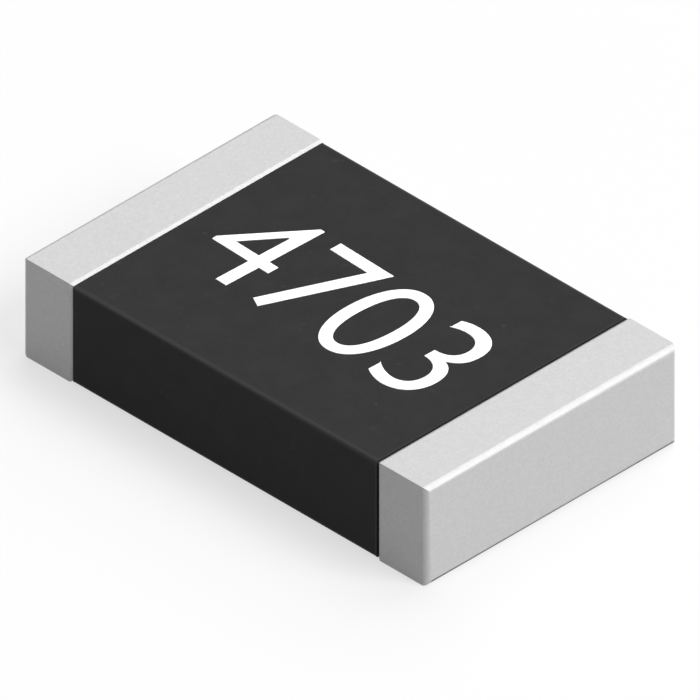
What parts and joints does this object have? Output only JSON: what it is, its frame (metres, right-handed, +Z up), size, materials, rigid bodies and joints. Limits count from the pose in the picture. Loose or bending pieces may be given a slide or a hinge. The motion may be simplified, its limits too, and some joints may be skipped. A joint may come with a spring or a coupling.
{
  "type": "smd chip resistor",
  "caption": "Flat chip resistor: a dark coated ceramic chip with a bright five-sided metal cap on each end, soldered to a circuit board by its caps.",
  "frame": {"origin": "middle of the underside, in the plane that both end caps rest on", "axes": "+X along the length towards the right end cap, +Y across the width, +Z up out of the marked top"},
  "size_m": [0.0032, 0.002, 0.0007],
  "materials": {
    "alumina": "matte",
    "silver": "matte",
    "film": "matte",
    "glass": "gloss",
    "coat": "satin",
    "nickel": "satin",
    "tin": "satin",
    "marking_ink": "matte"
  },
  "bodies": {
    "root": {"ceramic_substrate": "alumina", "left_bottom_electrode": "silver", "right_bottom_electrode": "silver", "left_top_electrode": "silver", "right_top_electrode": "silver", "resistive_film": "film", "glass_coat": "glass", "protective_coat": "coat", "left_edge_electrode": "silver", "right_edge_electrode": "silver", "left_nickel_barrier": "nickel", "right_nickel_barrier": "nickel", "left_tin_cap": "tin", "right_tin_cap": "tin"}
  },
  "joints": []
}
